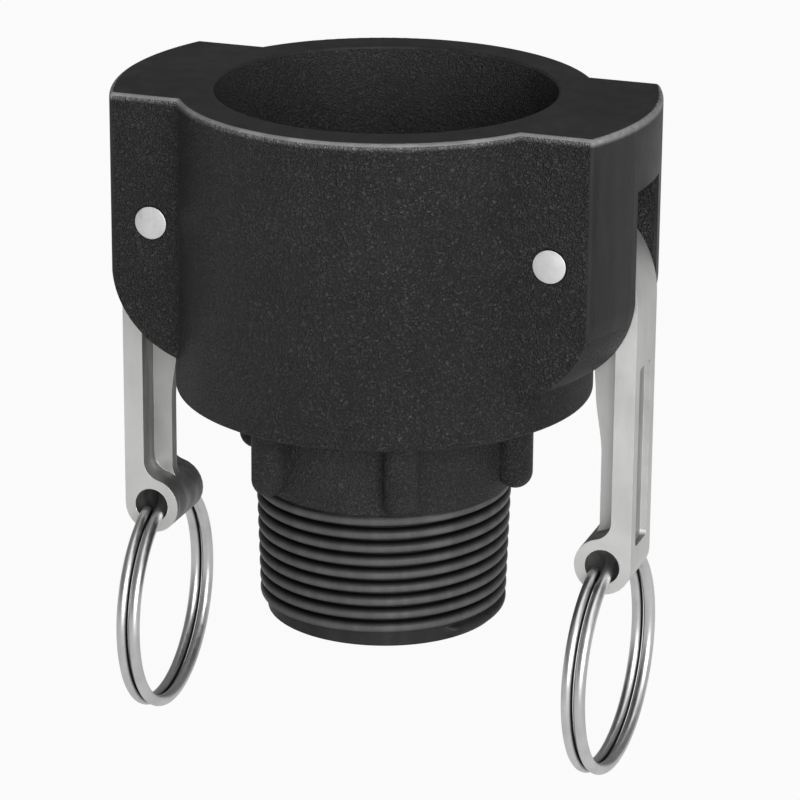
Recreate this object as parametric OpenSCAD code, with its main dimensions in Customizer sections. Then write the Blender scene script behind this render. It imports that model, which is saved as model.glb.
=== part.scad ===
// Cam and groove coupling: a moulded socket with two cam levers, on a male taper-threaded spigot.
// Millimetres. The origin is the centre of the spigot's end face, +Z points out of the socket's
// mouth along the pipe, and X runs through the two wings that carry the levers.

/* [Socket] */
// Height of the whole moulded body, from the spigot's end face to the mouth
body_h = 87.7; // [84:0.1:96]
// Bore that the mating adapter slides into
bore_d = 54.6; // [54:0.1:56]
// Wall of the socket round the bore
cup_wall = 6.55; // [5.8:0.05:7]
// Rounding along the outer top edges
edge_r = 0.9; // [0.4:0.1:1.4]
// Narrowing of the bore's radius towards the gasket, as the mould's draft leaves it
bore_draft = 0.1; // [0.05:0.05:0.2]
// Rounding where the bore opens at the mouth
mouth_r = 0.5; // [0.2:0.1:1]
// Rounding of the socket's lower outer edge
foot_r = 0.5; // [0.2:0.1:1]

/* [Seat and waterway] */
// Depth of the gasket's seat below the mouth
seat_depth = 44.2; // [43:0.1:45]
// Thickness of the socket's floor, from the gasket's seat to its underside
floor_t = 5.1; // [4:0.1:7]
// Bore of the waterway through the spigot
waterway_d = 32; // [28:0.5:33]
// Rounding where the seat runs into the waterway
waterway_round = 1.5; // [0.5:0.1:2]

/* [Gasket] */
// Outside diameter of the gasket
gasket_od = 55.6; // [55:0.1:57.2]
// Inside diameter of the gasket
gasket_bore_d = 41.3; // [38:0.1:44]
// Thickness of the gasket
gasket_t = 6.35; // [5:0.05:7]
// Rounding of the gasket's edges
gasket_round = 0.9; // [0.3:0.1:1.5]
// Radial gap round the gasket in its groove
gasket_play = 0.3; // [0.2:0.05:0.5]
// Gap between the gasket and the roof of its groove
groove_gap = 0.3; // [0.2:0.05:0.6]

/* [Wings] */
// Radius of the wings' outer end faces about the socket's axis
wing_reach = 43.85; // [43.3:0.05:46]
// Width across each wing
wing_w = 36.9; // [32:0.1:38]
// Depth of the wings' lowest edge below the mouth
wing_drop = 44.2; // [42:0.1:46]
// Radius of the wings' big lower corner
wing_round = 16; // [13:0.5:17]
// Gap between a lever and each side of its slot
slot_play = 0.3; // [0.2:0.05:0.4]
// Gap between the open lever and the slot's roof
roof_gap = 0.6; // [0.4:0.1:1.5]
// Gap round the cam and the closed lever where they pass the socket's wall
window_gap = 1; // [0.6:0.1:1.5]

/* [Neck] */
// Diameter of the plain neck under the socket
neck_d = 42.3; // [42:0.1:44]
// Length of the neck, down to the thread
neck_l = 15.3; // [14.8:0.1:18]
// Rounding where the neck meets the socket's underside
neck_fillet = 1; // [0.4:0.1:2]
// How many wrench ribs stand round the neck
rib_count = 6; // [4:1:8]
// Turn of the first rib from the wings
rib_turn = -3.5; // [-15:0.5:15]
// Width of a rib
rib_d = 5.7; // [4.5:0.1:6.5]
// How far a rib stands out of the neck
rib_out = 4.7; // [3:0.1:5]
// Length of a rib below the socket's underside, with its round end
rib_l = 14.7; // [10:0.1:14.8]

/* [Thread spigot] */
// Largest diameter of the thread, at its upper end
thread_d = 41.9; // [41:0.05:42]
// Taper of the thread on the diameter, one in this many
thread_taper = 16; // [14:1:20]
// Distance from one crest of the thread to the next
thread_pitch = 2.309; // [2:0.001:2.6]
// Depth of the thread
thread_depth = 1.4; // [1:0.05:1.5]
// Width of the thread's flat crests
thread_crest = 0.35; // [0.2:0.05:0.5]
// Distance of the first crest below the neck
thread_gap = 1.25; // [1.2:0.05:2]
// Diameter of the plain lead-in at the spigot's end
lead_d = 38.2; // [37:0.1:39]
// Height of the plain lead-in
lead_h = 2.4; // [1.4:0.1:4]

/* [Pins] */
// Diameter of the lever pins
pin_d = 5.5; // [5:0.1:5.8]
// Distance of each pin from the wing's end face
pin_back = 10.75; // [10.3:0.05:10.9]
// Depth of the pins below the mouth
pin_depth = 20.8; // [20:0.1:22]
// Radial fit of a pin in the wing
pin_fit = 0.04; // [0.02:0.01:0.08]
// Radial fit of a lever on its pin
lever_fit = 0.08; // [0.05:0.01:0.1]
// How far a pin's end lies below the wing's face
pin_inset = 0.1; // [0.05:0.05:0.3]
// Chamfer on the pin's ends and on the mouth of its hole
pin_chamfer = 0.3; // [0.2:0.05:0.4]

/* [Levers] */
// Opening swing of a lever, from closed
open_angle = 80; // [70:1:88]
// Width of a lever
lever_w = 11.2; // [10:0.1:12]
// How far a closed lever's outer face lies behind the wing's end face
lever_inset = 0.05; // [0:0.05:0.3]
// Radius of the lever's head round the pin
head_r = 5.1; // [4.8:0.1:5.3]
// Radius of the lever's shoulder, from the head to the outer face
shoulder_r = 17; // [15:0.5:19]
// Thickness of the outer flange
flange_t = 3.4; // [2.5:0.1:4.5]
// Thickness of the web behind the flange
web_t = 2; // [1.4:0.1:4]
// Distance of the head's lower inner corner from the pin, measured outwards
neck_in = 1.9; // [1.6:0.1:3]
// The same for the web's inner edge where it starts to narrow
web_in_top = 2.9; // [2.6:0.1:3.5]
// The same for the web's inner edge above the eye
web_in_low = 4.1; // [3.6:0.05:5]
// Depth of the pockets' upper end below the pin
pocket_top = 13; // [12.5:0.5:16]
// Depth at which the web starts to narrow
narrow_top = 25; // [23:0.5:27]
// Depth at which the web has narrowed
narrow_low = 36; // [33:0.5:40]

/* [Cams] */
// Distance of the cam's nose centre from the pin
cam_reach = 7; // [6.4:0.1:7.4]
// Radius of the cam's nose
cam_nose = 2.2; // [1.8:0.1:2.4]
// Direction of the closed cam, below the line to the socket's axis
cam_dip = 25; // [20:1:32]

/* [Lever eyes] */
// Distance of the eye below the pin
eye_drop = 53.3; // [50:0.1:58]
// Radius of the eye's boss
eye_r = 4.7; // [4.4:0.05:5]
// Bore of the eye
eye_d = 5.8; // [5.75:0.05:6.2]
// Radius of the hollow between the flange and the eye
eye_hollow = 3.2; // [2.5:0.1:4]

/* [Panel in the lever's face] */
// Width of the sunk panel
panel_w = 6.2; // [5:0.1:7.5]
// Length of the sunk panel
panel_l = 30; // [20:0.5:30.5]
// Depth of the sunk panel
panel_t = 1; // [0.5:0.1:1.5]
// Distance of the panel's top below the pin
panel_top = 20.2; // [18:0.1:22]
// Corner radius of the panel
panel_round = 0.8; // [0.3:0.1:1.5]

/* [Pull rings] */
// Diameter of the ring along the middle of its wire
ring_d = 35.8; // [32:0.1:42]
// Diameter of the wire
wire_d = 1.9; // [1.7:0.02:1.98]
// Spacing of the ring's two turns
turn_pitch = 2.08; // [2:0.01:2.14]
// Drop of the ring's wire below the eye's centre
ring_sag = 0.3; // [0.2:0.05:0.35]
// Stretch over which the wire crosses from one turn to the other, in degrees
cross_angle = 30; // [20:1:36]
// Place of that crossing, in degrees from the ring's lowest point
cross_at = 180; // [0:5:360]
// Small twist at which the left ring hangs in its eye
left_twist = 2.4; // [-3:0.1:3]
// Small twist at which the right ring hangs in its eye
right_twist = -2.2; // [-3:0.1:3]

/* [Hidden] */
$fn = 96;
over = 1;
envelope_gap = 0.05;
web_bite = 0.2;
arc_steps = 20;
web_steps = 10;
wire_sides = 12;
turn_steps = 60;
// Gap between the ring's two ends, in degrees
end_gap = 2;
start_angle = cross_at + cross_angle / 2 + end_gap;
ring_sweep = 720 - cross_angle - 2 * end_gap;
ring_steps = round(turn_steps * ring_sweep / 360);
bore_r = bore_d / 2;
cup_r = bore_r + cup_wall;
seat_z = body_h - seat_depth;
cup_z = seat_z - floor_t;
groove_r = gasket_od / 2 + gasket_play;
groove_h = gasket_t + groove_gap;
thread_z = cup_z - neck_l;
crest_count = floor((thread_z - thread_gap - lead_h) / thread_pitch) + 1;
neck_r = neck_d / 2;
rib_r = rib_d / 2;
rib_at = neck_r + rib_out - rib_r;
pin_r = pin_d / 2;
pin_x = wing_reach - pin_back;
lever_out = pin_back - lever_inset;
pin_z = body_h - pin_depth;
slot_w = lever_w + 2 * slot_play;
// The slot's mouth, where the open lever comes closest to the roof
mouth_out = sqrt(wing_reach * wing_reach - slot_w * slot_w / 4) - pin_x;
roof_z = pin_z + (lever_out - mouth_out * cos(open_angle)) / sin(open_angle) + roof_gap;
cam_swing = cam_reach + cam_nose;
// The closed levers' shafts keep their gap from the socket's wall outside this radius
shaft_r = pin_x + neck_in - window_gap;
// The shoulder's arc is tangent to the head and to the outer face
shoulder_c = lever_out - shoulder_r;
shoulder_drop = sqrt(pow(shoulder_r - head_r, 2) - shoulder_c * shoulder_c);
eye_x = lever_out - eye_r;
// The same arc's centre when the lever is open
open_c = shoulder_c * cos(open_angle) + shoulder_drop * sin(open_angle);
open_rise = shoulder_c * sin(open_angle) - shoulder_drop * cos(open_angle);
// The open shoulder's height where it crosses the socket's outer face
open_top = open_rise + sqrt(pow(shoulder_r, 2) - pow(cup_r - pin_x - open_c, 2));
window_top = pin_z + open_top + window_gap;
window_low = pin_z - cam_swing - window_gap;
// The guiding land of the bore ends a little above the windows
land_z = window_top + window_gap;
body_black = [0.11, 0.11, 0.115];
rubber_black = [0.06, 0.06, 0.065];
cast_silver = [0.74, 0.74, 0.74];
bright_steel = [0.83, 0.83, 0.84];

// A rectangle from the axis, with its outer corners rounded
module turned_block(r, h, top_r, low_r) {
    translate([0, low_r]) square([r, h - top_r - low_r]);
    translate([0, h - top_r - over / 2]) square([r - top_r, top_r + over / 2]);
    square([r - low_r, low_r + over / 2]);
    translate([r - top_r, h - top_r]) circle(top_r);
    translate([r - low_r, low_r]) circle(low_r);
}

// The corner left between two faces by a rounding of radius r
module corner_fill(r) {
    difference() {
        square(r);
        translate([r, r]) circle(r);
    }
}

// A plate with four round corners
module rounded_plate(w, l, r) {
    square([w - 2 * r, l], center = true);
    square([w, l - 2 * r], center = true);
    for (x = [-1, 1], y = [-1, 1])
        translate([x * (w / 2 - r), y * (l / 2 - r)]) circle(r);
}

// Radius of the thread's crests at a height
function crest_r(z) = (thread_d - (thread_z - z) / thread_taper) / 2;

// One crest of the thread and the groove above it, in the turned profile. The thread stands here
// as rings of the right pitch and depth
function thread_ring(i) =
    let (z = thread_z - thread_gap - i * thread_pitch)
    [
        [crest_r(z), z - thread_crest / 2],
        [crest_r(z), z + thread_crest / 2],
        [crest_r(z) - thread_depth, z + thread_pitch / 2]
    ];

// Socket, neck and threaded spigot as one turned blank
module turned_blank() {
    rings = [for (i = [crest_count - 1 : -1 : 0]) each thread_ring(i)];
    rotate_extrude() {
        translate([0, cup_z]) turned_block(cup_r, body_h - cup_z, edge_r, foot_r);
        translate([0, thread_z]) square([neck_r, neck_l + over]);
        translate([neck_r, cup_z]) mirror([0, 1]) corner_fill(neck_fillet);
        polygon(concat(
            [[0, 0], [lead_d / 2, 0], [lead_d / 2, lead_h]],
            rings,
            [[crest_r(thread_z) - thread_depth, thread_z], [0, thread_z]]
        ));
    }
}

// Everything that is hollow on the axis: bore, gasket groove and waterway
module turned_hollow() {
    translate([0, 0, land_z]) cylinder(h = body_h - land_z + over, r = bore_r);
    translate([0, 0, seat_z])
        cylinder(h = land_z - seat_z, r1 = bore_r - bore_draft, r2 = bore_r);
    translate([0, 0, seat_z]) cylinder(h = groove_h, r = groove_r);
    translate([0, 0, -over]) cylinder(h = seat_z + 2 * over, d = waterway_d);
    rotate_extrude() {
        translate([bore_r, body_h]) mirror([0, 1]) corner_fill(mouth_r);
        translate([waterway_d / 2, seat_z]) mirror([0, 1]) corner_fill(waterway_round);
    }
}

// Outline of both wings from above, drawn in by a margin all round
module wings_outline(margin) {
    corner = edge_r - margin;
    side = wing_w / 2 - edge_r;
    end = sqrt(pow(wing_reach - edge_r, 2) - side * side);
    square([2 * end, wing_w - 2 * margin], center = true);
    intersection() {
        circle(wing_reach - margin);
        square([2 * wing_reach, 2 * side], center = true);
    }
    if (corner > 0)
        for (x = [-1, 1], y = [-1, 1])
            translate([x * end, y * side]) circle(corner);
}

// Both wings as one bar across the socket, with a rounded top edge
module wings_bar() {
    side = wing_w / 2 - edge_r;
    end = sqrt(pow(wing_reach - edge_r, 2) - side * side);
    low = body_h - wing_drop;
    translate([0, 0, low]) linear_extrude(wing_drop - edge_r) wings_outline(0);
    translate([0, 0, body_h - 2 * edge_r]) linear_extrude(2 * edge_r) wings_outline(edge_r);
    translate([0, 0, body_h - edge_r]) {
        for (y = [-1, 1])
            translate([0, y * side, 0]) rotate([0, 90, 0])
                cylinder(h = 2 * end, r = edge_r, center = true);
        for (x = [-1, 1], y = [-1, 1])
            translate([x * end, y * side, 0]) rotate([90, 0, 45 * x * y]) sphere(edge_r);
        intersection() {
            rotate_extrude() translate([wing_reach - edge_r, 0]) circle(edge_r);
            cube([3 * wing_reach, 2 * side, 4 * edge_r], center = true);
        }
    }
}

// Turned envelope that gives the wings their big lower corner. It stands a hair outside the
// end faces, so that the round leaves them at a slight angle and not at a tangent
module wings_envelope() {
    low = body_h - wing_drop;
    out = wing_reach + envelope_gap;
    rotate_extrude() {
        translate([0, low]) square([out - wing_round, wing_drop + over]);
        translate([0, low + wing_round]) square([out, wing_drop - wing_round + over]);
        translate([out - wing_round, low + wing_round]) circle(wing_round);
    }
}

// Slot on both sides for the levers, open downwards, outside a radius
module lever_slots(inner_r) {
    difference() {
        translate([-2 * wing_reach, -slot_w / 2, -over])
            cube([4 * wing_reach, slot_w, roof_z + over]);
        translate([0, 0, -2 * over]) cylinder(h = body_h + 4 * over, r = inner_r);
    }
}

// Windows through the socket's wall for the cams
module cam_windows() {
    translate([-cup_r - over, -slot_w / 2, window_low])
        cube([2 * (cup_r + over), slot_w, window_top - window_low]);
}

// Holes for both lever pins, with a chamfered mouth on each wing face
module pin_holes() {
    for (x = [-1, 1])
        translate([x * pin_x, 0, pin_z]) rotate([90, 0, 0]) {
            cylinder(h = wing_w + 2 * over, r = pin_r + pin_fit, center = true);
            for (side = [0, 1])
                mirror([0, 0, side]) translate([0, 0, wing_w / 2 - pin_chamfer])
                    cylinder(h = 2 * pin_chamfer, r1 = pin_r + pin_fit,
                             r2 = pin_r + pin_fit + 2 * pin_chamfer);
        }
}

// Ribs that a strap wrench grips, with round lower ends
module neck_ribs() {
    for (i = [0 : rib_count - 1])
        rotate([0, 0, rib_turn + i * 360 / rib_count]) translate([rib_at, 0, 0]) {
            translate([0, 0, cup_z - rib_l + rib_r]) cylinder(h = rib_l, r = rib_r);
            translate([0, 0, cup_z - rib_l + rib_r]) rotate([0, 45, 0]) sphere(rib_r);
        }
}

module coupler_body() {
    color(body_black) difference() {
        union() {
            difference() {
                turned_blank();
                lever_slots(shaft_r);
            }
            neck_ribs();
            difference() {
                intersection() {
                    wings_bar();
                    wings_envelope();
                }
                lever_slots(min(cup_r, shaft_r));
            }
        }
        turned_hollow();
        cam_windows();
        pin_holes();
    }
}

module seal_gasket() {
    wide = (gasket_od - gasket_bore_d) / 2;
    color(rubber_black) rotate_extrude()
        translate([gasket_bore_d / 2 + wide / 2, seat_z + gasket_t / 2])
            rounded_plate(wide, gasket_t, gasket_round);
}

// Points along an arc, from one angle to another, with its first point left out on request
function arc(centre, r, from, to, first = 0) = [
    for (i = [first : arc_steps])
        let (a = from + (to - from) * i / arc_steps)
        centre + r * [cos(a), sin(a)]
];

// Hollow that runs from a straight inner edge down into a boss of radius b, in the side view
function eye_run(edge, b) =
    let (side = eye_x - edge + eye_hollow, reach = b + eye_hollow)
    arc([edge - eye_hollow, sqrt(reach * reach - side * side) - eye_drop],
        eye_hollow, 0, -acos(side / reach));

// Head, cam, shoulder, outer flange and eye of the lever as one closed line in its side view
module lever_outline() {
    touch = atan2(shoulder_drop, -shoulder_c);
    lean = acos((head_r - cam_nose) / cam_reach);
    dir = 180 + cam_dip;
    edge = lever_out - flange_t;
    meet = acos((eye_x - edge + eye_hollow) / (eye_r + eye_hollow));
    polygon(concat(
        arc([shoulder_c, -shoulder_drop], shoulder_r, 0, touch),
        arc([0, 0], head_r, touch, dir - lean, 1),
        arc(cam_reach * [cos(dir), sin(dir)], cam_nose, dir - lean, dir + lean),
        [[neck_in, -shoulder_drop], [neck_in, -pocket_top], [edge, -pocket_top]],
        eye_run(edge, eye_r),
        arc([eye_x, -eye_drop], eye_r, 180 - meet, 360, 1)
    ));
}

// Inner edge of the web at a share of its narrowing stretch
function web_edge(s) = [
    web_in_top + (web_in_low - web_in_top) * s * s * (3 - 2 * s),
    -narrow_top - (narrow_low - narrow_top) * s
];

// Web between the flange and the lever's inner edge, in the side view. It runs a little way
// into the solids at both ends
module web_outline() {
    polygon(concat(
        [[lever_out - flange_t / 2, -pocket_top + over], [neck_in, -pocket_top + over]],
        [for (i = [0 : web_steps]) web_edge(i / web_steps)],
        eye_run(web_in_low, eye_r - web_bite),
        [[eye_x, -eye_drop], [lever_out - flange_t / 2, -eye_drop]]
    ));
}

// A lever with its pin at the origin, its face outwards along X and its arm down
module lever_shape() {
    difference() {
        rotate([90, 0, 0]) {
            linear_extrude(lever_w, center = true) lever_outline();
            linear_extrude(web_t, center = true) web_outline();
        }
        rotate([90, 0, 0])
            cylinder(h = lever_w + 2 * over, r = pin_r + lever_fit, center = true);
        translate([eye_x, 0, -eye_drop]) rotate([90, 0, 0])
            cylinder(h = lever_w + 2 * over, d = eye_d, center = true);
        translate([lever_out - panel_t, 0, -panel_top - panel_l / 2]) rotate([0, 90, 0])
            linear_extrude(panel_t + over) rounded_plate(panel_l, panel_w, panel_round);
    }
}

module cam_lever_left() {
    color(cast_silver) mirror([1, 0, 0]) translate([pin_x, 0, pin_z]) lever_shape();
}

module cam_lever_right() {
    color(cast_silver) translate([pin_x, 0, pin_z]) lever_shape();
}

module pin_shape() {
    pin_l = wing_w - 2 * pin_inset;
    rotate([90, 0, 0]) {
        cylinder(h = pin_l - 2 * pin_chamfer, r = pin_r, center = true);
        for (side = [0, 1])
            mirror([0, 0, side]) translate([0, 0, pin_l / 2 - pin_chamfer])
                cylinder(h = pin_chamfer, r1 = pin_r, r2 = pin_r - pin_chamfer);
    }
}

module pivot_pin_left() {
    color(bright_steel) translate([-pin_x, 0, pin_z]) pin_shape();
}

module pivot_pin_right() {
    color(bright_steel) translate([pin_x, 0, pin_z]) pin_shape();
}

// Place of the wire between the turns, from -1 to 1, at an angle along it
function turn_side(t) =
    let (s = min(max((t + end_gap - 360 + cross_angle) / cross_angle, 0), 1))
    2 * s * s * (3 - 2 * s) - 1;
// A point on the wire's skin, for a step along the wire and a side round it
function wire_point(i, k) =
    let (t = ring_sweep * i / ring_steps, a = start_angle + t, b = 360 * k / wire_sides)
    let (r = ring_d / 2 + wire_d / 2 * cos(b))
    [turn_pitch / 2 * turn_side(t) + wire_d / 2 * sin(b), r * sin(a), -r * cos(a)];

// Two turns of round wire side by side, as a split ring is wound
module ring_shape() {
    last = wire_sides * ring_steps;
    points = [for (i = [0 : ring_steps], k = [0 : wire_sides - 1]) wire_point(i, k)];
    skin = [
        for (i = [0 : ring_steps - 1], k = [0 : wire_sides - 1])
            let (a = i * wire_sides, b = (k + 1) % wire_sides)
            [a + k, a + b, a + wire_sides + b, a + wire_sides + k]
    ];
    near_end = [for (k = [0 : wire_sides - 1]) wire_sides - 1 - k];
    far_end = [for (k = [0 : wire_sides - 1]) last + k];
    polyhedron(points, concat(skin, [near_end, far_end]));
}

// A ring hung in the eye of the right lever, a little twisted about the plumb line
module hung_ring(twist) {
    translate([pin_x + eye_x, 0, pin_z - eye_drop - ring_sag - ring_d / 2])
        rotate([0, 0, twist]) ring_shape();
}

module pull_ring_left() {
    color(bright_steel) rotate([0, 0, 180]) hung_ring(left_twist);
}

module pull_ring_right() {
    color(bright_steel) hung_ring(right_twist);
}

coupler_body();
seal_gasket();
cam_lever_left();
cam_lever_right();
pivot_pin_left();
pivot_pin_right();
pull_ring_left();
pull_ring_right();
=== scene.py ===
# %% [markdown]
# A cam and groove coupling: a black moulded socket with a cam lever in each of its two wings, on a
# spigot with a male taper thread. The scene starts from the imported CAD model, which gives every
# piece its place and its size. Everything below is in metres, in that same frame: the origin is the
# middle of the spigot's end, +Z points out of the socket's mouth and X runs through the wings.
#
# The box round the CAD model is kept from the start, because later steps take sizes from it.

# %% The CAD model as a fixed frame
import math

import bmesh
import bpy
from mathutils import Matrix, Vector


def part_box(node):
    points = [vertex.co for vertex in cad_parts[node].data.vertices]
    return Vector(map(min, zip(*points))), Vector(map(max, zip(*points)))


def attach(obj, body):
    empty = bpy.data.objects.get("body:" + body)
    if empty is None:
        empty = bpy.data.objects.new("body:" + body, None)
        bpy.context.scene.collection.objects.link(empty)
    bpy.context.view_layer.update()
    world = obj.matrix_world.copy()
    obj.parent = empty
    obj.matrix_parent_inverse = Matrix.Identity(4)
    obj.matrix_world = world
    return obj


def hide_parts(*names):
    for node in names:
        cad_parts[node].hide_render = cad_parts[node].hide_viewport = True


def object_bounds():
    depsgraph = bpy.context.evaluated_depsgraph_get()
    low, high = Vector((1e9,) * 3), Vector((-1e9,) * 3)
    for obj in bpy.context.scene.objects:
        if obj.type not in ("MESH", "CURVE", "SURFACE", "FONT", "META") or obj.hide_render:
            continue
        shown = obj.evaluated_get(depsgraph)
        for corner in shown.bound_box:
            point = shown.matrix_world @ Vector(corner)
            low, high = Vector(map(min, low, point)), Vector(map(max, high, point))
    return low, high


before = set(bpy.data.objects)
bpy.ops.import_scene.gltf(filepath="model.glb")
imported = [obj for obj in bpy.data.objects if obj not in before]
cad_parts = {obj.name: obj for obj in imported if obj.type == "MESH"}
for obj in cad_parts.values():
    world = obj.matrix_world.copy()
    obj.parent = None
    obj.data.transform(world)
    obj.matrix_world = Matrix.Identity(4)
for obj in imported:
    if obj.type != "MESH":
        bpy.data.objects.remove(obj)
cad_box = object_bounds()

MM = 0.001
SIDES = ("left", "right")
print("CAD nodes:", sorted(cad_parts))
print("CAD box in mm:", [[round(c / MM, 2) for c in corner] for corner in cad_box])

# %% [markdown]
# The camera comes first, so that every later look at the render is from the photograph's angle. A
# product photographer stands far off with a long lens, which keeps the socket's rim a calm ellipse.
# The values below come from fitting that rim, the pins and the spigot's end to the photograph. The
# small shift stands for the crop: the picture isn't centred on the lens's axis.

# %% The photograph's camera
AIM = Vector((0, 0, 0.0477))
DISTANCE, NEAREST = 0.60468, 0.05
TURN, RISE, ROLL = math.radians(19.6064), math.radians(18.2755), math.radians(0.3502)
FILM_WIDTH, LENS = 36, 168.165
SHIFT_X, SHIFT_Y = 0.01881, -0.09092

camera_data = bpy.data.cameras.new("photo_camera")
camera_data.sensor_width, camera_data.lens = FILM_WIDTH, LENS
camera_data.shift_x, camera_data.shift_y = SHIFT_X, SHIFT_Y
camera_data.clip_start = NEAREST
camera = bpy.data.objects.new("photo_camera", camera_data)
bpy.context.scene.collection.objects.link(camera)
look = (Matrix.Rotation(TURN, 4, "Z") @ Matrix.Rotation(math.pi / 2 - RISE, 4, "X")
        @ Matrix.Rotation(ROLL, 4, "Z"))
camera.matrix_world = Matrix.Translation(AIM + look.to_3x3() @ Vector((0, 0, DISTANCE))) @ look
bpy.context.scene.camera = camera
print("camera stands at", [round(c, 3) for c in camera.matrix_world.translation])

# %% [markdown]
# Every new piece is made in a bmesh and ends as an object at the origin. One helper does that last
# step for all of them: it writes the mesh, shades it smooth with hard edges kept where two faces
# meet steeply, hangs the piece on the body that carries it and hides the CAD nodes that it stands
# for. A Weighted Normal modifier lets the large flat faces stay flat in the shading, so that all of
# the bend falls on the small rounds beside them.

# %% A helper that finishes a piece
def finish_piece(name, bm, body, stands_for=(), sharp=40):
    bmesh.ops.recalc_face_normals(bm, faces=bm.faces)
    open_edges = sum(not e.is_manifold for e in bm.edges)
    mesh = bpy.data.meshes.new(name)
    bm.to_mesh(mesh)
    bm.free()
    mesh.shade_smooth()
    mesh.set_sharp_from_angle(angle=math.radians(sharp))
    piece = bpy.data.objects.new(name, mesh)
    bpy.context.scene.collection.objects.link(piece)
    even = piece.modifiers.new("even_shading", "WEIGHTED_NORMAL")
    even.keep_sharp = True
    even.weight = 100
    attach(piece, body)
    if stands_for:
        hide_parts(*stands_for)
    print(name, "has", len(mesh.polygons), "faces and", open_edges, "open edges")
    return piece


# %% [markdown]
# A CAD node is a heap of loose triangles. Before a bevel or a cut can work on a copy of it, the
# points that coincide are merged and the triangles of each flat face are joined up again. A cut at
# a level height gives back the open edges that it leaves, for the next step to close.

# %% Helpers for copies of the CAD nodes
SAME_POINT = 0.002 * MM
SAME_FACE = math.radians(0.4)
ON_THE_CUT = 1e-8


def weld(bm):
    bmesh.ops.remove_doubles(bm, verts=bm.verts, dist=SAME_POINT)


def copy_of_node(node):
    bm = bmesh.new()
    bm.from_mesh(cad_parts[node].data)
    weld(bm)
    bmesh.ops.dissolve_limit(bm, angle_limit=SAME_FACE, verts=bm.verts, edges=bm.edges)
    return bm


def cut(bm, height, keep_above):
    bmesh.ops.bisect_plane(bm, geom=bm.verts[:] + bm.edges[:] + bm.faces[:], dist=ON_THE_CUT,
                           plane_co=(0, 0, height), plane_no=(0, 0, 1),
                           clear_inner=keep_above, clear_outer=not keep_above)
    return [e for e in bm.edges if e.is_boundary]


# %% [markdown]
# Real edges are never quite sharp, and handling polishes them. One helper bevels the steep edges
# and writes a number on the new faces, 1 for a worn round and 0 elsewhere, which the finishes read
# as an attribute. Where they read it, the round is painted paler, partly as polish and partly as a
# painted highlight. The number belongs to faces and not to points, because a large flat face shares
# all of its points with the rounds beside it.

# %% Rounded edges that remember where they are
WORN_AND_SHEEN = "worn_edge_and_sheen"


def soften(bm, angle, width, segments=3):
    bm.faces.layers.float.new(WORN_AND_SHEEN)
    edges = [e for e in bm.edges if e.is_manifold and e.calc_face_angle() > math.radians(angle)]
    made = bmesh.ops.bevel(bm, geom=edges, offset=width, offset_type="OFFSET", segments=segments,
                           profile=0.5, affect="EDGES", clamp_overlap=True, material=-1)["faces"]
    # Faces marked here are painted paler by the finishes that read them: partly polish, partly
    # painted highlight.
    wear_and_sheen = bm.faces.layers.float[WORN_AND_SHEEN]
    for face in made:
        face[wear_and_sheen] = 1.0
    print("softened", len(edges), "edges with", len(made), "faces")


# %% [markdown]
# The moulded body is one piece of black plastic: socket, wings, neck, ribs and spigot. Its shape is
# already exact in the CAD model, so a copy of that mesh is the best start. Only the thread is
# simpler there, with plain rings in place of a wound ridge. So the copy is cut off just above it,
# the open rim is drawn straight down to the thread's top and closed, and the threaded spigot is
# made as its own mesh below.

# %% The moulded body above the thread
THREAD_TOP = 23.1 * MM
RIM_DROP = 0.2 * MM


def moulded_body():
    bm = copy_of_node("coupler_body")
    rim = cut(bm, THREAD_TOP + RIM_DROP, keep_above=True)
    made = bmesh.ops.extrude_edge_only(bm, edges=rim)["geom"]
    low = [g for g in made if isinstance(g, bmesh.types.BMVert)]
    bmesh.ops.translate(bm, verts=low, vec=(0, 0, -RIM_DROP))
    foot = [g for g in made if isinstance(g, bmesh.types.BMEdge) and g.is_boundary]
    bmesh.ops.triangle_fill(bm, edges=foot, use_beauty=True)
    return bm


body = finish_piece("moulded_body", moulded_body(), "coupler", ["coupler_body"])

# %% [markdown]
# A pipe thread is a ridge wound round a slightly tapered core. In Blender such a form comes from
# the spin operator: a short upright line, one pitch long, is turned round the axis and lifted by
# one pitch each turn, so that every turn meets the last one exactly. The points of the line are
# spaced for the ridge that they will draw. They get its height afterwards, together with the taper,
# and two flat cuts trim the helix to length. The outline of half a ridge is enough to write down,
# because its other half mirrors it.

# %% A plain helix, with its points spaced for the ridge
PITCH = 2.309 * MM
CREST_TOP = 20.95 * MM
FIRST_CREST = 1.30 * MM
HALF_RIDGE = [(0.00, 0.00), (0.05, 0.03), (0.10, 0.25), (0.17, 0.62), (0.24, 0.84), (0.33, 0.95),
              (0.42, 0.99), (0.50, 1.00)]
RIDGE = HALF_RIDGE + [(1 - along, height) for along, height in HALF_RIDGE[-2::-1]]
STEPS = 128
PLAIN_TURNS, RIDGE_TURNS = 2, 11
START_ANGLE = math.radians(-35)


def plain_helix():
    bm = bmesh.new()
    low = FIRST_CREST - (PLAIN_TURNS + 0.5) * PITCH
    line = [bm.verts.new((CREST_TOP, 0, low + along * PITCH)) for along, _ in RIDGE]
    edges = [bm.edges.new(pair) for pair in zip(line, line[1:])]
    turns = PLAIN_TURNS + RIDGE_TURNS
    bmesh.ops.spin(bm, geom=line + edges, cent=(0, 0, 0), axis=(0, 0, 1),
                   dvec=(0, 0, PITCH / STEPS), angle=math.tau * turns, steps=STEPS * turns)
    bmesh.ops.rotate(bm, verts=bm.verts, cent=(0, 0, 0),
                     matrix=Matrix.Rotation(START_ANGLE, 3, "Z"))
    print("helix of", turns, "turns has", len(bm.faces), "faces")
    return bm
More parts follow.
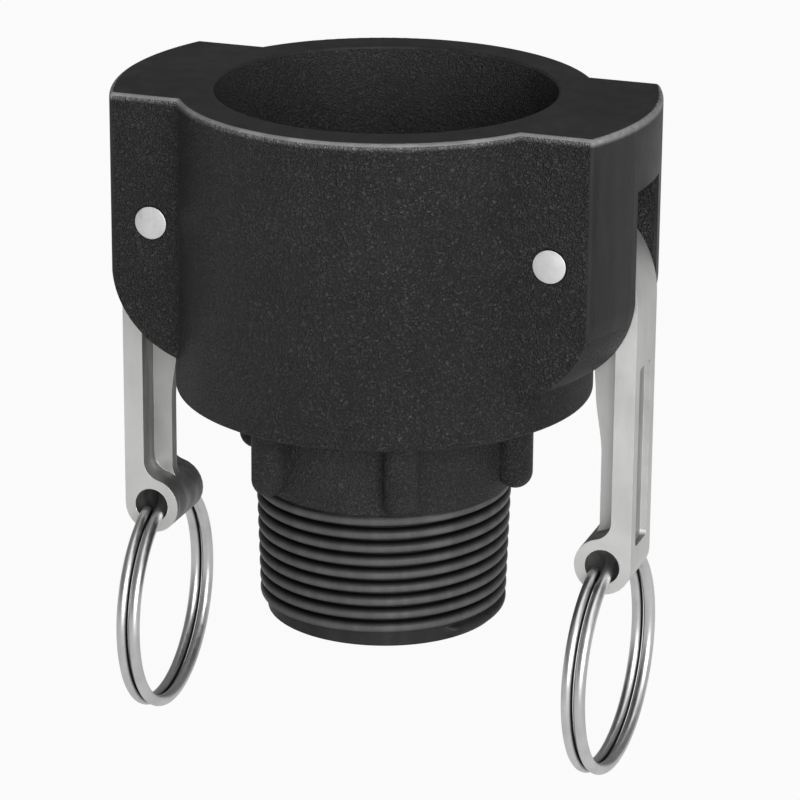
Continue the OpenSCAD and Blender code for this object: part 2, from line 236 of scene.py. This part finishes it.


# %% [markdown]
# The spin adds its points step by step, so a point's number tells which turn it is on and where it
# lies across the ridge. That is enough to give each one its radius. The first turns stay plain, as
# the lead-in that lets the nut find its way on, and the ridge starts after them with a blunt end.
# At the top the grooves fill up just under the neck. Each point also keeps how deep it lies in a
# groove, for the painted shade there, and how near the crest it is, for a paler crest that is
# partly rubbed by the nut and partly painted highlight.

# %% The ridge, its taper and its marks
TAPER = 1 / 32
DEPTH = 1.42 * MM
LEAD_R, LEAD_TOP = 19.1 * MM, 2.6 * MM
RUN_OUT, RUN_OUT_END = 1.0 * MM, 0.1 * MM
GROOVE_SHADE = "groove"
CREST_WEAR_AND_SHEEN, CREST_NARROWNESS = 0.38, 6


def thread_radius(turn, ridge, z):
    if turn < PLAIN_TURNS:
        return LEAD_R
    cut_in = min(max((THREAD_TOP - RUN_OUT_END - z) / RUN_OUT, 0), 1)
    radius = CREST_TOP - (THREAD_TOP - z) * TAPER - DEPTH * (1 - ridge) * cut_in
    return max(radius, LEAD_R) if z < LEAD_TOP else radius


def raise_ridge(bm):
    groove, wear_and_sheen = bm.verts.layers.float.new(GROOVE_SHADE), bm.verts.layers.float.new(WORN_AND_SHEEN)
    for number, v in enumerate(bm.verts):
        step, place = divmod(number, len(RIDGE))
        turn, ridge = step / STEPS, RIDGE[place][1]
        v.co.xy *= thread_radius(turn, ridge, v.co.z) / v.co.xy.length
        # Painted shade deep in the grooves, and a paler crest that is partly wear and partly
        # painted highlight.
        if turn > PLAIN_TURNS and LEAD_TOP < v.co.z < THREAD_TOP - RUN_OUT / 2:
            v[groove] = 1 - ridge
            v[wear_and_sheen] = CREST_WEAR_AND_SHEEN * ridge ** CREST_NARROWNESS


# %% [markdown]
# The two cuts leave the helix open at both ends. Each open rim is drawn in to the waterway as a
# flat ring, the two inner rims are bridged by the waterway's wall, and the edges at the spigot's
# end are bevelled, because a mould never leaves such an edge sharp.

# %% The threaded spigot
WATERWAY = 16.0 * MM
END_ROUND = 0.2 * MM
END_STEEP = math.radians(57)
AT_THE_END = 1e-6


def threaded_spigot():
    bm = plain_helix()
    raise_ridge(bm)
    weld(bm)
    cut(bm, 0, keep_above=True)
    rims = cut(bm, THREAD_TOP, keep_above=False)
    for v in bmesh.ops.extrude_edge_only(bm, edges=rims)["geom"]:
        if isinstance(v, bmesh.types.BMVert):
            v.co.xy = v.co.xy.normalized() * WATERWAY
    weld(bm)
    bmesh.ops.bridge_loops(bm, edges=[e for e in bm.edges if e.is_boundary])
    ends = [e for e in bm.edges if all(abs(v.co.z) < AT_THE_END for v in e.verts)
            and e.is_manifold and e.calc_face_angle() > END_STEEP]
    bmesh.ops.bevel(bm, geom=ends, offset=END_ROUND, offset_type="OFFSET", segments=2,
                    profile=0.5, affect="EDGES", clamp_overlap=True, material=-1)
    return bm


spigot = finish_piece("threaded_spigot", threaded_spigot(), "coupler", sharp=50)

# %% [markdown]
# The levers are cast metal, tumbled until their edges are soft. The CAD solid has the shape with
# sharp edges, so a merged copy is bevelled along every edge where two faces meet steeply. A small
# round like that is what catches the light along a real casting's outline. Afterwards the two side
# faces are ground flat, and the outer face is linished lightly. Both are paler than the cast skin,
# which stays in the channels, so each face gets a number for that, from the way it points and from
# whether it is sunk below its neighbours. The darker tone of the channel walls and the sunk faces
# is partly that cast skin and partly painted shade.

# %% The cam levers
GROUND_AND_SHADE = "ground_side_and_shade"
LEVER_STEEP, LEVER_ROUND = 50, 0.35 * MM
SUNK_SIDE, SUNK_FACE = 0.2 * MM, 0.5 * MM
PALE_WHEN_SUNK_AND_SHADED, LINISHED_WHEN_SUNK_AND_SHADED = 0.85, 0.3
ARM_TOP = 55 * MM


def tumbled_lever(node):
    bm = copy_of_node(node)
    soften(bm, LEVER_STEEP, LEVER_ROUND)
    weld(bm)
    bm.normal_update()
    ground_and_lit_tone = bm.faces.layers.float.new(GROUND_AND_SHADE)
    width, reach = max(v.co.y for v in bm.verts), max(abs(v.co.x) for v in bm.verts)
    for face in bm.faces:
        middle, points = face.calc_center_median(), face.normal
        sunk = abs(middle.y) < width - SUNK_SIDE
        side = abs(points.y) * (PALE_WHEN_SUNK_AND_SHADED if sunk else 1.0)
        outwards = max(points.x * math.copysign(1, middle.x), 0)
        sunk = abs(middle.x) < reach - SUNK_FACE and middle.z < ARM_TOP
        # Sunk faces and faces that point elsewhere stay darker: partly cast skin, partly painted
        # shade.
        face[ground_and_lit_tone] = max(side, outwards * (LINISHED_WHEN_SUNK_AND_SHADED if sunk else 1.0))
    return bm


levers = [finish_piece("lever_" + side, tumbled_lever("cam_lever_" + side), "lever_" + side,
                       ["cam_lever_" + side]) for side in SIDES]

# %% [markdown]
# Each lever turns on a plain steel pin, cropped from bar and pressed in flush with the wing's
# faces. A lathe makes such a pin, and the spin operator is Blender's lathe: half the pin's outline,
# with its two rounded ends, is drawn as a line and turned once round the pin's axis. The outermost
# points are marked too, for a dark line of painted shade round the pin in its hole.

# %% The lever pins
PIN_CHAMFER = 0.14 * MM
PIN_STEEP, PIN_ROUND = 30, 0.05 * MM
PIN_STEPS = 64
GAP_SHADE_BAND = 0.4 * PIN_CHAMFER


def turned_pin(node):
    low, high = (Vector(corner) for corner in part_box(node))
    middle, half = (low + high) / 2, (high - low) / 2
    bm = bmesh.new()
    ends = [(0, -half.y), (half.x - PIN_CHAMFER, -half.y), (half.x, PIN_CHAMFER - half.y),
            (half.x, half.y - PIN_CHAMFER), (half.x - PIN_CHAMFER, half.y), (0, half.y)]
    line = [bm.verts.new((x, y, 0)) for x, y in ends]
    edges = [bm.edges.new(pair) for pair in zip(line, line[1:])]
    bmesh.ops.spin(bm, geom=line + edges, cent=(0, 0, 0), axis=(0, 1, 0), angle=math.tau,
                   steps=PIN_STEPS, use_merge=True)
    weld(bm)
    bmesh.ops.recalc_face_normals(bm, faces=bm.faces)
    soften(bm, PIN_STEEP, PIN_ROUND, segments=2)
    # The pin's outer rim is marked for painted shade where it meets its hole.
    groove = bm.verts.layers.float.new(GROOVE_SHADE)
    for v in bm.verts:
        v[groove] = float(math.hypot(v.co.x, v.co.z) > half.x - GAP_SHADE_BAND)
    bmesh.ops.translate(bm, verts=bm.verts, vec=middle)
    return bm


pins = [finish_piece("pin_" + side, turned_pin("pivot_pin_" + side), "coupler",
                     ["pivot_pin_" + side], sharp=30) for side in SIDES]

# %% [markdown]
# The pull rings are split rings: springy round wire wound twice round, with a short slanting
# stretch where it steps from one turn to the other. The spin operator winds them: a flat turn, the
# slanting stretch in small steps to the side, and another flat turn. The step and the two wire ends
# sit at the top, inside the eye, where a ring that has been worked on over the eye comes to rest.
# A disc of wire is made first, at the place where the winding starts.

# %% The wire's section, where the winding starts
WIRE, WIRE_SIDES = 0.95 * MM, 20
RING = 17.9 * MM
RING_STEP = 2.08 * MM
CROSS, END_GAP = 30, 2


def wire_disc(bm):
    disc = bmesh.ops.create_circle(bm, cap_ends=False, segments=WIRE_SIDES, radius=WIRE)["verts"]
    place = Matrix.Translation((-RING_STEP / 2, 0, -RING)) @ Matrix.Rotation(math.pi / 2, 4, "X")
    start = Matrix.Rotation(math.radians(180 + CROSS / 2 + END_GAP), 4, "X")
    bmesh.ops.transform(bm, matrix=start @ place, verts=disc)
    return disc + list({e for v in disc for e in v.link_edges})


# %% [markdown]
# The slanting stretch starts and ends gently, as wire does, so its sideways steps follow a smooth
# S. The points that face the crease between the two turns get a number too, for the painted shade
# in that crease. Each ring is then twisted a little in its eye, as it hangs in the photograph, and
# the left one is also turned half round, so that the two hang as mirror images.

# %% The pull rings
TURN_STEPS, CROSS_STEPS = 100, 12
WIRE_END_STEEP, WIRE_END_ROUND = 60, 0.2 * MM
CREASE_SHADE = "crease_shade"
TWIST = {"left": 182.4, "right": -2.2}


def winding():
    """The angle and the sideways share of every step, from one end of the wire to the other."""
    rises = [(k / CROSS_STEPS) ** 2 * (3 - 2 * k / CROSS_STEPS) for k in range(CROSS_STEPS + 1)]
    slant = [(CROSS / CROSS_STEPS, high - low) for low, high in zip(rises, rises[1:])]
    turn = [((360 - CROSS - END_GAP) / TURN_STEPS, 0)] * TURN_STEPS
    return turn + slant + turn


def wound_ring(centre, twist):
    bm = bmesh.new()
    first = front = wire_disc(bm)
    for angle, rise in winding():
        front = bmesh.ops.spin(bm, geom=front, cent=(0, 0, 0), axis=(1, 0, 0),
                               dvec=(RING_STEP * rise, 0, 0), angle=math.radians(angle),
                               steps=1)["geom_last"]
    for end in (first, front):
        bmesh.ops.holes_fill(bm, edges=[g for g in end if isinstance(g, bmesh.types.BMEdge)])
    bmesh.ops.recalc_face_normals(bm, faces=bm.faces)
    soften(bm, WIRE_END_STEEP, WIRE_END_ROUND)
    bm.normal_update()
    # Marks the crease between the two turns for painted shade.
    crease_shade = bm.verts.layers.float.new(CREASE_SHADE)
    for v in bm.verts:
        wire_middle = v.co.x - v.normal.x * WIRE
        v[crease_shade] = max(-v.normal.x * wire_middle / (RING_STEP / 2), 0)
    bmesh.ops.rotate(bm, verts=bm.verts, matrix=Matrix.Rotation(math.radians(twist), 3, "Z"))
    bmesh.ops.translate(bm, verts=bm.verts, vec=centre)
    return bm


def ring_centre(node):
    low, high = (Vector(corner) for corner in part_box(node))
    return Vector(((low.x + high.x) / 2, 0, low.z + WIRE + RING))


rings = [finish_piece("split_ring_" + side,
                      wound_ring(ring_centre("pull_ring_" + side), TWIST[side]),
                      "ring_" + side, ["pull_ring_" + side]) for side in SIDES]

# %% [markdown]
# Now the finishes. The real ones share a few effects, so each effect is a node group that is built
# once and then placed in several materials with its own values. A few small helpers come first: one
# makes a group with its sockets, one fills a socket with a value or with another node's output, and
# the others add the kinds of node that the finishes use most.

# %% Helpers for the node groups
def new_group(name, inputs, outputs):
    group = bpy.data.node_groups.new(name, "ShaderNodeTree")
    for label, value in inputs.items():
        group.interface.new_socket(label, in_out="INPUT",
                                   socket_type="NodeSocketFloat").default_value = value
    for label in outputs:
        group.interface.new_socket(label, in_out="OUTPUT", socket_type="NodeSocketFloat")
    print("group", name, "takes", list(inputs), "and gives", outputs)
    return group, group.nodes.new("NodeGroupInput"), group.nodes.new("NodeGroupOutput")


def feed(tree, given, socket):
    if isinstance(given, bpy.types.NodeSocket):
        tree.links.new(given, socket)
    else:
        socket.default_value = given


def math_node(tree, operation, first, second=0.5):
    node = tree.nodes.new("ShaderNodeMath")
    node.operation = operation
    for socket, given in zip(node.inputs, (first, second)):
        feed(tree, given, socket)
    return node.outputs[0]


def times(tree, first, second):
    return math_node(tree, "MULTIPLY", first, second)


# %% [markdown]
# Most masks come from noise or from a place, through a ramp that turns a stretch of values into
# the stretch that is wanted. The noise reads Object coordinates, so that its pattern stays on the
# piece when a lever or a ring swings. Stretching those coordinates draws it out into streaks.

# %% Ramps and noise
def ramp(tree, value, low, high, start=0.0, end=1.0):
    """Turns a value between low and high into one between start and end."""
    node = tree.nodes.new("ShaderNodeMapRange")
    node.interpolation_type = "SMOOTHSTEP"
    for label, given in (("Value", value), ("From Min", low), ("From Max", high),
                         ("To Min", start), ("To Max", end)):
        feed(tree, given, node.inputs[label])
    return node.outputs["Result"]


def between(tree, mask, start, end):
    """Gives start where the mask is 0 and end where it is 1."""
    return ramp(tree, mask, 0, 1, start, end)


def noise(tree, scale, detail=2, roughness=0.5, distortion=0, stretch=None):
    where = tree.nodes.new("ShaderNodeTexCoord").outputs["Object"]
    if stretch:
        mapping = tree.nodes.new("ShaderNodeMapping")
        mapping.inputs["Scale"].default_value = stretch
        tree.links.new(where, mapping.inputs["Vector"])
        where = mapping.outputs["Vector"]
    node = tree.nodes.new("ShaderNodeTexNoise")
    for label, given in (("Vector", where), ("Scale", scale), ("Detail", detail),
                         ("Roughness", roughness), ("Distortion", distortion)):
        feed(tree, given, node.inputs[label])
    return node.outputs["Fac"]


# %% [markdown]
# The moulded plastic shows a fine crawling grain. It comes from the mould, whose steel was cut by
# sparks, and it lies on the socket's side, the wings' front faces, the bore and the neck. Noise
# that is strongly distorted crawls in the same way, and a little finer noise breaks it up.

# %% The spark-cut grain
GRAIN_SCALE, FINE_SCALE = 2300, 4200
FINE_SHARE = 0.12


def spark_grain():
    group, given, out = new_group("spark_grain", {"Scale": GRAIN_SCALE}, ["Height"])
    coarse = noise(group, given.outputs["Scale"], detail=1, roughness=0.4, distortion=1.2)
    fine = noise(group, FINE_SCALE, detail=1, distortion=0.5)
    height = math_node(group, "ADD", ramp(group, coarse, 0.3, 0.7), times(group, fine, FINE_SHARE))
    group.links.new(height, out.inputs["Height"])
    return group


SPARK_GRAIN = spark_grain()

# %% [markdown]
# The top face, the wings' ends and the thread are smooth, and the bore is grained half as deep.
# The mask for these places is worked out from the part's own coordinates: the height for the top
# face and the thread, and the distance from the socket's axis for the bore and the wings' ends. The
# height also finds the round along the outer rim, which every hand and every hose rubs, so that it
# is shinier and is painted paler, partly as wear and partly as a painted highlight. The mouth and
# the wings' reach are the sizes of the CAD box.

# %% Smooth places, and the rim's wear and painted highlight
MOUTH, WING_REACH = cad_box[1][2], cad_box[1][0]
TOP_SKIN, END_SKIN = 0.5 * MM, 0.5 * MM
BORE_EDGE, RIM_SHEEN_EDGE = 27.6 * MM, 29 * MM
BORE_GRAIN = 0.5
RIM_SHEEN_LOW, RIM_SHEEN_HIGH = (MOUTH - 1.4 * MM, MOUTH - 0.5 * MM), (MOUTH - 0.1 * MM, MOUTH - 0.01 * MM)


def smooth_places_and_rim_sheen():
    group, given, out = new_group("smooth_places_and_rim_sheen",
                                  {"Top": MOUTH - TOP_SKIN, "Reach": WING_REACH - END_SKIN,
                                   "Bore": BORE_EDGE, "Foot": THREAD_TOP}, ["Grained", "Rim_wear_and_sheen"])
    split = group.nodes.new("ShaderNodeSeparateXYZ")
    where = group.nodes.new("ShaderNodeTexCoord")
    group.links.new(where.outputs["Object"], split.inputs["Vector"])
    x, y, z = split.outputs
    across = math_node(group, "SQRT", math_node(group, "ADD", times(group, x, x),
                                                times(group, y, y)))
    below = times(group, math_node(group, "LESS_THAN", z, given.outputs["Top"]),
                  math_node(group, "GREATER_THAN", z, given.outputs["Foot"]))
    inside = math_node(group, "LESS_THAN", across, given.outputs["Reach"])
    outside = math_node(group, "GREATER_THAN", across, given.outputs["Bore"])
    grained = times(group, times(group, below, inside), between(group, outside, BORE_GRAIN, 1))
    group.links.new(grained, out.inputs["Grained"])
    # The rim band, which the plastic paints paler: partly wear, partly painted highlight.
    rim = times(group, ramp(group, z, *RIM_SHEEN_LOW), ramp(group, z, *RIM_SHEEN_HIGH, 1, 0))
    outer = math_node(group, "GREATER_THAN", across, RIM_SHEEN_EDGE)
    group.links.new(times(group, rim, outer), out.inputs["Rim_wear_and_sheen"])
    return group


SMOOTH_PLACES_AND_RIM_SHEEN = smooth_places_and_rim_sheen()

# %% [markdown]
# Handling leaves every finish a little uneven. This group gives two patterns: broad slow patches,
# for places that were touched and wiped, and fine upright streaks, for the scuffs along the piece.

# %% Handling marks
PATCH_SIZE, SCUFF_SIZE = 70, 400
UPRIGHT = (1, 1, 0.18)


def handling_marks():
    group, given, out = new_group("handling_marks", {"Patch size": PATCH_SIZE,
                                                     "Scuff size": SCUFF_SIZE},
                                  ["Patches", "Scuffs"])
    patches = noise(group, given.outputs["Patch size"], detail=3, roughness=0.55, distortion=0.4)
    scuffs = noise(group, given.outputs["Scuff size"], detail=3, roughness=0.6, distortion=0.2,
                   stretch=UPRIGHT)
    group.links.new(ramp(group, patches, 0.3, 0.7), out.inputs["Patches"])
    group.links.new(ramp(group, scuffs, 0.35, 0.75), out.inputs["Scuffs"])
    return group


HANDLING = handling_marks()

# %% [markdown]
# Every material starts the same way, with a Principled shader and the handling marks, and ends the
# same way, with a colour, a roughness and a Bump node that takes one height.

# %% A start and an end for every finish
def place_group(tree, group):
    node = tree.nodes.new("ShaderNodeGroup")
    node.node_tree = group
    return node


def start_finish(name, metallic, patch_size, scuff_size):
    material = bpy.data.materials.new(name)
    material.use_nodes = True
    tree = material.node_tree
    shader = tree.nodes["Principled BSDF"]
    shader.inputs["Metallic"].default_value = metallic
    marks = place_group(tree, HANDLING)
    marks.inputs["Patch size"].default_value = patch_size
    marks.inputs["Scuff size"].default_value = scuff_size
    return material, tree, shader, marks.outputs["Patches"], marks.outputs["Scuffs"]


def end_finish(material, shader, colour, roughness, height, depth):
    tree = material.node_tree
    tree.links.new(colour, shader.inputs["Base Color"])
    tree.links.new(roughness, shader.inputs["Roughness"])
    node = tree.nodes.new("ShaderNodeBump")
    node.inputs["Distance"].default_value = depth
    tree.links.new(height, node.inputs["Height"])
    tree.links.new(node.outputs["Normal"], shader.inputs["Normal"])
    print("finish", material.name, "uses", len(tree.nodes), "nodes")
    return material


# %% [markdown]
# In between, a colour is built up in coats: each step blends another colour over the last one,
# where a mask says so. Some of the masks are the numbers that the pieces carry, which an Attribute
# node reads by their name.

# %% Coats of colour
def grey(level):
    return (level, level, level, 1)


def blend_colours(tree, mask, first, second):
    node = tree.nodes.new("ShaderNodeMix")
    node.data_type = "RGBA"
    for label, given in (("Factor", mask), ("A", first), ("B", second)):
        feed(tree, given, node.inputs[label])
    return node.outputs["Result"]


def attribute(tree, name):
    node = tree.nodes.new("ShaderNodeAttribute")
    node.attribute_name = name
    return node.outputs["Fac"]


# %% [markdown]
# The body is glass-filled plastic, black right through. It is dull where it is grained and has a
# darker, calmer skin where it is smooth. The scuffs are a shade greyer, because rubbed plastic
# turns pale. The rim, the thread's crests and the high points of the grain are painted greyer too,
# partly as wear and partly as painted highlight, and the thread's grooves are painted almost black
# as shade.

# %% Black moulded plastic
PLASTIC_SHEEN = 0.16
GRAIN_DEPTH, SMOOTH_SHARE = 0.75 * MM, 0.03


def plastic_colour(tree, patches, scuffs, grain, grained, wear_and_sheen):
    colour = blend_colours(tree, patches, (0.037, 0.0372, 0.0376, 1), (0.047, 0.047, 0.0474, 1))
    colour = blend_colours(tree, ramp(tree, grained, 0, 0.5), (0.022, 0.022, 0.0223, 1), colour)
    colour = blend_colours(tree, times(tree, scuffs, 0.35), colour, grey(0.05))
    # The grain's tops are painted paler: partly wear, partly painted highlight on the grain.
    grain_tops_wear_and_glint = times(tree, ramp(tree, grain, 0.55, 1.05), times(tree, grained, 0.5))
    colour = blend_colours(tree, grain_tops_wear_and_glint, colour, grey(0.062))
    # The thread's grooves are painted almost black as shade.
    grooves = ramp(tree, attribute(tree, GROOVE_SHADE), 0.1, 0.8)
    colour = blend_colours(tree, grooves, colour, grey(0.004))
    # The rim and the thread's crests are painted pale grey: partly wear, partly painted highlight.
    return blend_colours(tree, times(tree, wear_and_sheen, 0.8), colour, grey(0.34))


def moulded_plastic():
    material, tree, shader, patches, scuffs = start_finish("black_plastic", 0, 60, 300)
    shader.inputs["Specular IOR Level"].default_value = PLASTIC_SHEEN
    grain = place_group(tree, SPARK_GRAIN).outputs["Height"]
    places = place_group(tree, SMOOTH_PLACES_AND_RIM_SHEEN)
    grained, rim = places.outputs["Grained"], places.outputs["Rim_wear_and_sheen"]
    # Rounds, rim and thread crests get a paler colour: partly wear, partly painted highlight.
    wear_and_sheen = times(tree, math_node(tree, "MAXIMUM", attribute(tree, WORN_AND_SHEEN), rim),
                 between(tree, scuffs, 0.75, 1))
    colour = plastic_colour(tree, patches, scuffs, grain, grained, wear_and_sheen)
    rough = math_node(tree, "SUBTRACT", between(tree, patches, 0.40, 0.47),
                      times(tree, wear_and_sheen, 0.12))
    height = times(tree, grain, between(tree, grained, SMOOTH_SHARE, 1))
    return end_finish(material, shader, colour, rough, height, GRAIN_DEPTH)


PLASTIC = moulded_plastic()

# %% [markdown]
# The gasket is moulded rubber, duller and a touch warmer than the plastic, with a fine soft grain.

# %% Gasket rubber
def gasket_rubber():
    material, tree, shader, patches, _ = start_finish("gasket_rubber", 0, 90, 500)
    colour = blend_colours(tree, patches, (0.016, 0.0155, 0.015, 1), (0.028, 0.027, 0.026, 1))
    soft_grain = noise(tree, 3000, detail=3, roughness=0.6)
    return end_finish(material, shader, colour, between(tree, patches, 0.58, 0.72), soft_grain,
                      0.03 * MM)


RUBBER = gasket_rubber()

# %% [markdown]
# The levers have the satin grey of tumbled castings: a fine grain all over, slow dull patches, and
# rounds that are polished brighter than the faces and painted paler still, as a painted highlight.
# One attribute from the bevels says where those rounds are, and another says how much of each face
# was ground paler; the darker faces in the channels are partly painted shade.

# %% Tumbled cast metal
def cast_metal():
    material, tree, shader, patches, scuffs = start_finish("cast_metal", 1, 110, 500)
    # The dark tone is partly cast skin and partly painted shade in the channels.
    cast_skin_and_shade = blend_colours(tree, patches, (0.19, 0.19, 0.188, 1), (0.26, 0.259, 0.256, 1))
    ground_and_lit_tone = blend_colours(tree, patches, (0.67, 0.668, 0.662, 1), (0.73, 0.728, 0.721, 1))
    colour = blend_colours(tree, attribute(tree, GROUND_AND_SHADE), cast_skin_and_shade, ground_and_lit_tone)
    colour = blend_colours(tree, times(tree, scuffs, 0.3), colour, (0.77, 0.768, 0.76, 1))
    wear_and_sheen = attribute(tree, WORN_AND_SHEEN)
    # Worn rounds are painted near white: partly polish, partly painted highlight.
    colour = blend_colours(tree, times(tree, wear_and_sheen, 0.85), colour, (0.95, 0.95, 0.94, 1))
    rough = math_node(tree, "SUBTRACT", between(tree, patches, 0.55, 0.65),
                      times(tree, wear_and_sheen, 0.3))
    fine_grain = noise(tree, 2600, detail=3, roughness=0.6, distortion=0.3)
    return end_finish(material, shader, colour, rough, fine_grain, 0.02 * MM)


CAST = cast_metal()

# %% [markdown]
# The pins are bright bar with a cropped, slightly matt end, and a dark line of painted shade where
# they meet their holes. The rings are spring wire: smoother, a little darker, and not quite even,
# as wire is that was drawn through a die. The crease between their two turns is painted dark as
# shade.

# %% Pin steel and ring wire
PIN_GAP_SHADE, RING_CREASE_SHADE = 0.02, 0.03


def bar_steel():
    material, tree, shader, patches, scuffs = start_finish("pin_steel", 1, 400, 900)
    colour = blend_colours(tree, patches, grey(0.68), grey(0.78))
    # A dark line of painted shade where the pin meets its hole.
    gap_shade = ramp(tree, attribute(tree, GROOVE_SHADE), 0.05, 0.6)
    colour = blend_colours(tree, gap_shade, colour, grey(PIN_GAP_SHADE))
    return end_finish(material, shader, colour, between(tree, scuffs, 0.58, 0.68),
                      noise(tree, 3500), 0.008 * MM)


def spring_wire():
    material, tree, shader, patches, scuffs = start_finish("ring_wire", 1, 160, 700)
    colour = blend_colours(tree, patches, (0.64, 0.64, 0.645, 1), (0.76, 0.76, 0.765, 1))
    # Painted shade in the crease between the two turns.
    crease_shade_mask = ramp(tree, attribute(tree, CREASE_SHADE), 0.55, 1)
    colour = blend_colours(tree, crease_shade_mask, colour, grey(RING_CREASE_SHADE))
    return end_finish(material, shader, colour, between(tree, scuffs, 0.33, 0.42),
                      noise(tree, 500, detail=1), 0.003 * MM)


PIN, SPRING = bar_steel(), spring_wire()

# %% [markdown]
# Each finish goes on the pieces that are made of it. The gasket has no new mesh: it is plain enough
# for its CAD node to be shown as it is, so that node gets the rubber.

# %% Every piece gets its finish
dress = {body: PLASTIC, spigot: PLASTIC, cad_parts["seal_gasket"]: RUBBER,
         **dict.fromkeys(levers, CAST), **dict.fromkeys(pins, PIN), **dict.fromkeys(rings, SPRING)}
for piece, material in dress.items():
    piece.data.materials.clear()
    piece.data.materials.append(material)
    print(piece.name, "is finished in", material.name)

# %% [markdown]
# The photograph has a plain white ground. Here the floor is a large pale disc just under the rings,
# which hang lower than the spigot. A Light Path node tells what kind of ray meets it: the camera
# sees it almost white, and metal that mirrors it sees it about half as bright, but onto the part it
# bounces only the light that it gets from the lamps and the room.

# %% Floor
FLOOR_RADIUS, FLOOR_GAP = 2.5, 1 * MM
FLOOR_GREY, FLOOR_ROUGHNESS, FLOOR_SHEEN = 0.5, 0.9, 0.1
SEEN_WHITE, MIRRORED = 0.95, 0.5


def white_ground():
    material = bpy.data.materials.new("white_ground")
    material.use_nodes = True
    tree = material.node_tree
    shader = tree.nodes["Principled BSDF"]
    for label, value in (("Base Color", grey(FLOOR_GREY)), ("Roughness", FLOOR_ROUGHNESS),
                         ("Specular IOR Level", FLOOR_SHEEN)):
        shader.inputs[label].default_value = value
    path = tree.nodes.new("ShaderNodeLightPath").outputs
    mirror_ray = math_node(tree, "MAXIMUM", path["Is Glossy Ray"], path["Is Transmission Ray"])
    seen = math_node(tree, "MAXIMUM", path["Is Camera Ray"], times(tree, mirror_ray, MIRRORED))
    glow = tree.nodes.new("ShaderNodeEmission")
    mix = tree.nodes.new("ShaderNodeMixShader")
    tree.links.new(times(tree, seen, SEEN_WHITE), mix.inputs["Fac"])
    tree.links.new(shader.outputs["BSDF"], mix.inputs[1])
    tree.links.new(glow.outputs["Emission"], mix.inputs[2])
    tree.links.new(mix.outputs["Shader"], tree.nodes["Material Output"].inputs["Surface"])
    return material


def pale_floor():
    bm = bmesh.new()
    bmesh.ops.create_circle(bm, cap_ends=True, segments=96, radius=FLOOR_RADIUS)
    bmesh.ops.translate(bm, verts=bm.verts, vec=(0, 0, cad_box[0][2] - FLOOR_GAP))
    mesh = bpy.data.meshes.new("floor")
    bm.to_mesh(mesh)
    bm.free()
    mesh.materials.append(white_ground())
    floor = bpy.data.objects.new("floor", mesh)
    bpy.context.scene.collection.objects.link(floor)
    print("floor lies at", round(mesh.vertices[0].co.z / MM, 1), "mm")


pale_floor()

# %% [markdown]
# The room adds a plain grey from all round, and only the camera sees it as white, so that the
# ground stays white up to and past the horizon. A broad soft box just right of the camera lights
# the socket's front and fades round its sides. A large one above, a little in front, lights the top
# face, the rounds and the upper side of every ridge, and a faint one far on the right lifts the
# wing and the lever there.

# %% World and lamps
ROOM_LIGHT = 0.17
world = bpy.data.worlds.new("studio")
world.use_nodes = True
room = world.node_tree.nodes["Background"]
room.inputs["Color"].default_value = grey(1)
camera_ray = world.node_tree.nodes.new("ShaderNodeLightPath").outputs["Is Camera Ray"]
world.node_tree.links.new(math_node(world.node_tree, "MAXIMUM", camera_ray, ROOM_LIGHT),
                          room.inputs["Strength"])
bpy.context.scene.world = world


def soft_box(name, azimuth, height, distance, size, power):
    place = AIM + Vector((math.cos(math.radians(azimuth)) * distance,
                          math.sin(math.radians(azimuth)) * distance, height))
    lamp = bpy.data.lights.new(name, "AREA")
    lamp.shape = "RECTANGLE"
    lamp.size, lamp.size_y = size
    lamp.energy = power
    holder = bpy.data.objects.new(name, lamp)
    bpy.context.scene.collection.objects.link(holder)
    holder.location = place
    holder.rotation_euler = (AIM - place).to_track_quat("-Z", "Y").to_euler()
    print(name, "gives", power, "W from", [round(c, 2) for c in place])


soft_box("overhead_box", azimuth=-62, height=1.0, distance=0.4, size=(0.9, 0.9), power=3)
soft_box("front_box", azimuth=-58, height=0.3, distance=1.1, size=(0.85, 0.6), power=11.5)
soft_box("right_box", azimuth=-10, height=0.35, distance=1.1, size=(0.5, 0.7), power=0.5)
bpy.context.scene.view_settings.view_transform = "Standard"
